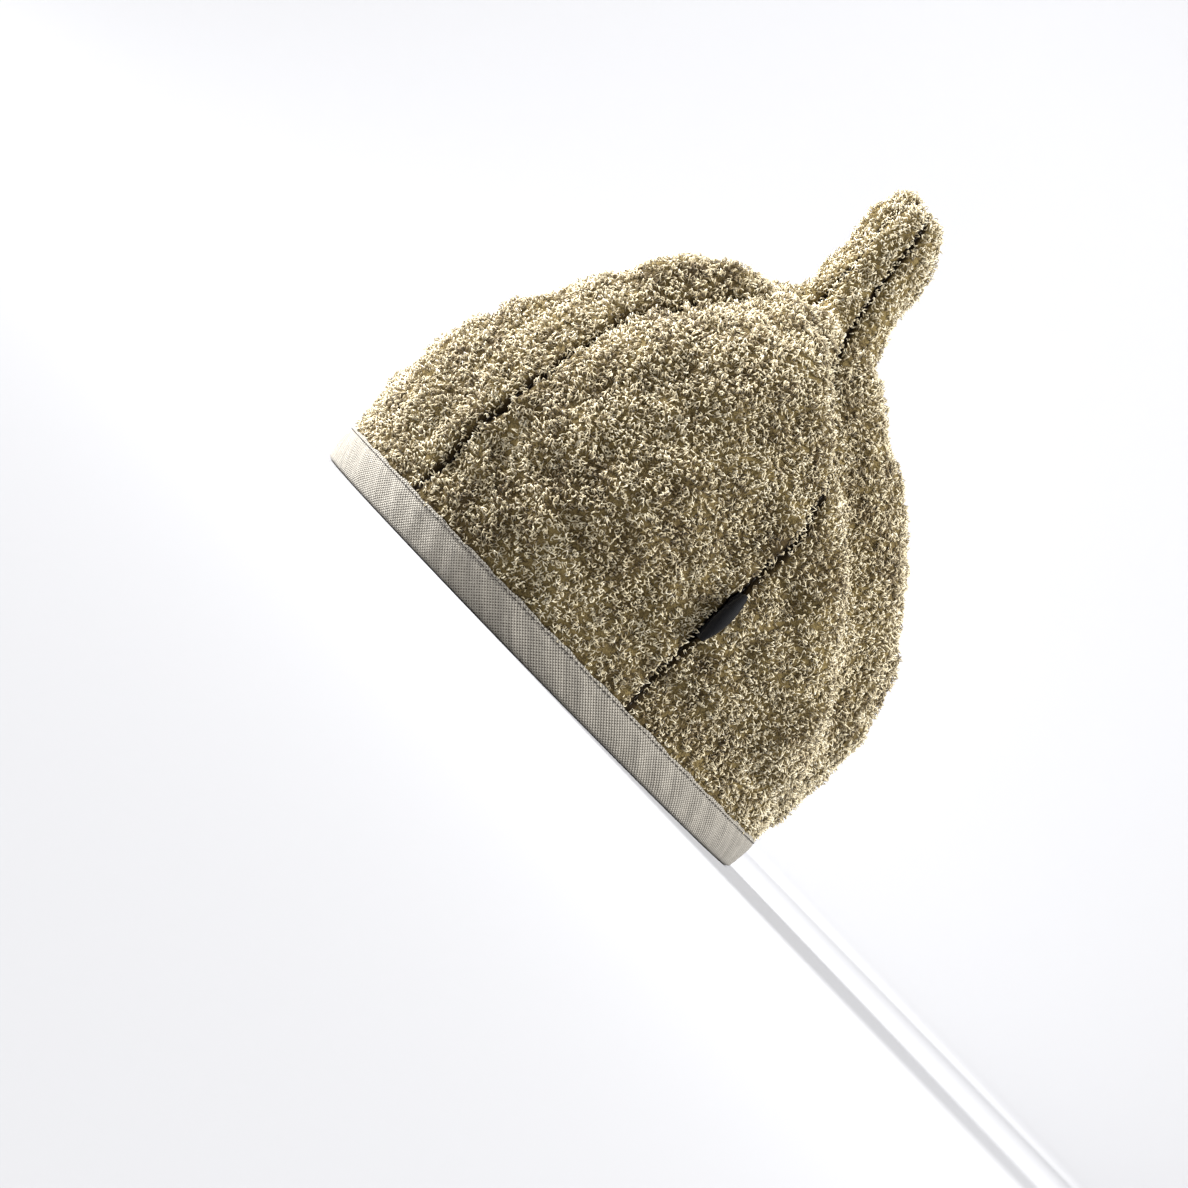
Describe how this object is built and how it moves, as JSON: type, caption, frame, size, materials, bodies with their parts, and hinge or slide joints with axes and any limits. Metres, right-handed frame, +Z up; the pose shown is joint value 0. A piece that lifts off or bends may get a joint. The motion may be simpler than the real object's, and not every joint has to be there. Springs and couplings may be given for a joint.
{
  "type": "sauna hat",
  "caption": "Soft gored sauna hat of looped terry cloth with a blunt stem on its crown, a folded linen binding round the rim and a small ribbon tab in one side seam.",
  "frame": {"origin": "on the floor that the rim rests on, under the middle of the box that holds the hat", "axes": "+Z up through the crown to the stem, -Y towards the wearer's front, +X towards the wearer's left"},
  "size_m": [0.1874, 0.2194, 0.22],
  "materials": {
    "terry_cloth": "looped pile, matt",
    "linen_binding": "plain weave, matt",
    "black_ribbon": "close weave, slight sheen"
  },
  "bodies": {
    "root": {"panel_front": "terry_cloth", "panel_front_left": "terry_cloth", "panel_back_left": "terry_cloth", "panel_back": "terry_cloth", "panel_back_right": "terry_cloth", "panel_front_right": "terry_cloth", "rim_binding": "linen_binding", "side_tab": "black_ribbon"}
  },
  "joints": []
}
